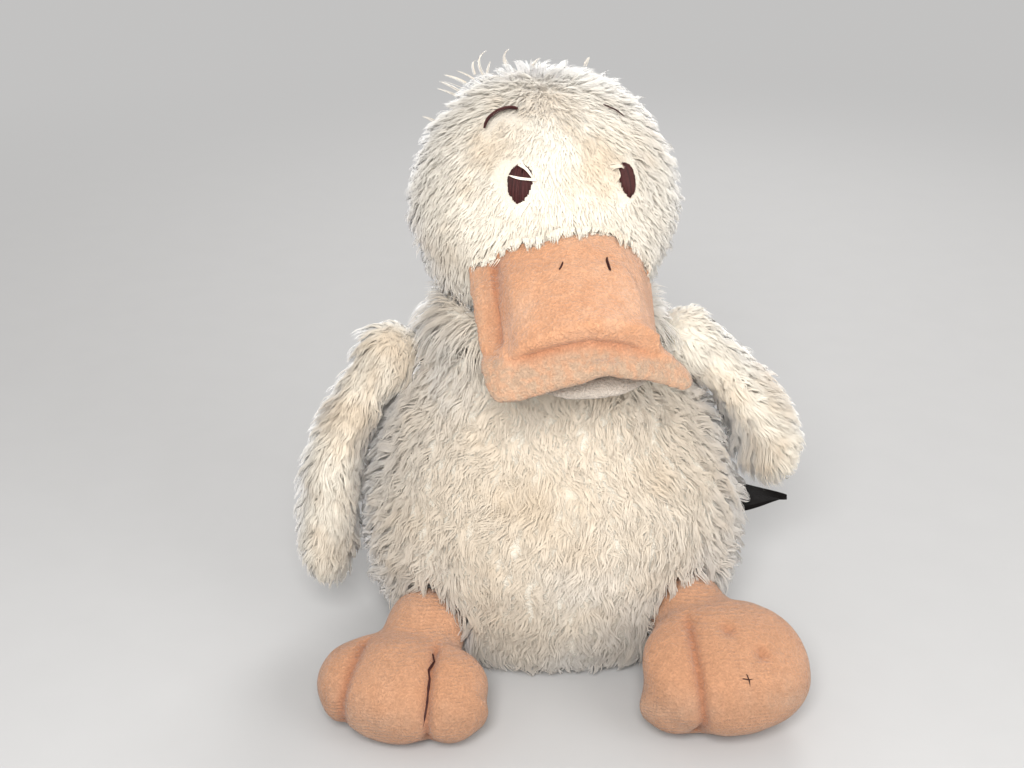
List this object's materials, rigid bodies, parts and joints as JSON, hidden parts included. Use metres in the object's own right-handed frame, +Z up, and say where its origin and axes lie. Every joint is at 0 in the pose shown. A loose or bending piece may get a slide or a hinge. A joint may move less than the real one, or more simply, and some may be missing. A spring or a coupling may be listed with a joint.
{
  "type": "plush duck",
  "caption": "Seated stuffed duck with a round head, broad soft bill, hanging wings, short legs with flat feet and a small tail; head, bill, wings, legs, feet and tail move.",
  "frame": {"origin": "middle of the flat seat panel, on the surface that the duck sits on", "axes": "+Z up, the duck's body faces -Y, its left side is +X"},
  "size_m": [0.2011, 0.1906, 0.2337],
  "materials": {
    "white_plush": "matte",
    "peach_velour": "matte",
    "stuffing": "matte",
    "pellet_cloth": "matte",
    "brown_thread": "satin",
    "dark_ribbon": "satin"
  },
  "bodies": {
    "torso": {"body_back_left_panel": "white_plush", "body_back_right_panel": "white_plush", "body_filling": "stuffing", "body_front_panel": "white_plush", "pellet_bag": "pellet_cloth", "seat_panel": "white_plush", "side_label": "dark_ribbon"},
    "neck": {"neck_band": "white_plush", "neck_filling": "stuffing"},
    "head": {"bill_upper_cover": "peach_velour", "bill_upper_filling": "stuffing", "eye_left": "brown_thread", "eye_right": "brown_thread", "eyebrow_left": "brown_thread", "eyebrow_right": "brown_thread", "head_filling": "stuffing", "head_left_panel": "white_plush", "head_right_panel": "white_plush", "nostril_left": "brown_thread", "nostril_right": "brown_thread"},
    "lower_bill": {"bill_lower_cover": "peach_velour", "bill_lower_filling": "stuffing"},
    "right_wing": {"wing_right_filling": "stuffing", "wing_right_inner_panel": "white_plush", "wing_right_outer_panel": "white_plush"},
    "left_wing": {"wing_left_filling": "stuffing", "wing_left_inner_panel": "white_plush", "wing_left_outer_panel": "white_plush"},
    "right_leg": {"leg_right_cover": "peach_velour", "leg_right_filling": "stuffing"},
    "left_leg": {"leg_left_cover": "peach_velour", "leg_left_filling": "stuffing"},
    "right_foot": {"foot_right_filling": "stuffing", "foot_right_sole": "peach_velour", "foot_right_top": "peach_velour", "toe_stitch_right_foot": "brown_thread"},
    "left_foot": {"foot_left_filling": "stuffing", "foot_left_sole": "peach_velour", "foot_left_top": "peach_velour"},
    "tail": {"tail_cover": "white_plush", "tail_filling": "stuffing"}
  },
  "joints": [
    {"name": "head_turn", "type": "hinge", "parent": "torso", "child": "neck", "pos_m": [-0.005, -0.002, 0.184], "axis": [0, 0, 1], "range_deg": [-54, 26], "stiffness_Nm_per_rad": 0.6},
    {"name": "head_nod", "type": "hinge", "parent": "neck", "child": "head", "pos_m": [-0.005, -0.002, 0.184], "axis": [0.9703, 0.2419, 0], "range_deg": [-20, 8], "stiffness_Nm_per_rad": 0.6},
    {"name": "lower_bill_open", "type": "hinge", "parent": "head", "child": "lower_bill", "pos_m": [0.00583, -0.0445, 0.16113], "axis": [0.9903, 0.1392, 0], "range_deg": [0, 14], "stiffness_Nm_per_rad": 0.05},
    {"name": "right_wing_lift", "type": "hinge", "parent": "torso", "child": "right_wing", "pos_m": [-0.06399, -0.00601, 0.1255], "axis": [0, 1, 0], "range_deg": [0, 95], "stiffness_Nm_per_rad": 0.15},
    {"name": "left_wing_lift", "type": "hinge", "parent": "torso", "child": "left_wing", "pos_m": [0.05097, -0.00403, 0.1315], "axis": [0, -1, 0], "range_deg": [0, 75], "stiffness_Nm_per_rad": 0.15},
    {"name": "right_leg_swing", "type": "hinge", "parent": "torso", "child": "right_leg", "pos_m": [-0.05097, -0.04897, 0.0235], "axis": [-0.9816, 0.1908, 0], "range_deg": [0, 28], "stiffness_Nm_per_rad": 0.25},
    {"name": "left_leg_swing", "type": "hinge", "parent": "torso", "child": "left_leg", "pos_m": [0.05298, -0.04501, 0.028], "axis": [-0.9659, -0.2588, 0], "range_deg": [0, 28], "stiffness_Nm_per_rad": 0.25},
    {"name": "right_foot_flex", "type": "hinge", "parent": "right_leg", "child": "right_foot", "pos_m": [-0.05406, -0.06485, 0.01561], "axis": [-0.9816, 0.1908, 0], "range_deg": [0, 20], "stiffness_Nm_per_rad": 0.1},
    {"name": "left_foot_flex", "type": "hinge", "parent": "left_leg", "child": "left_foot", "pos_m": [0.05713, -0.0605, 0.01983], "axis": [-0.9659, -0.2588, 0], "range_deg": [0, 20], "stiffness_Nm_per_rad": 0.1},
    {"name": "tail_wag", "type": "hinge", "parent": "torso", "child": "tail", "pos_m": [0, 0.06798, 0.04], "axis": [0, 0, 1], "range_deg": [-18, 18], "stiffness_Nm_per_rad": 0.05}
  ]
}
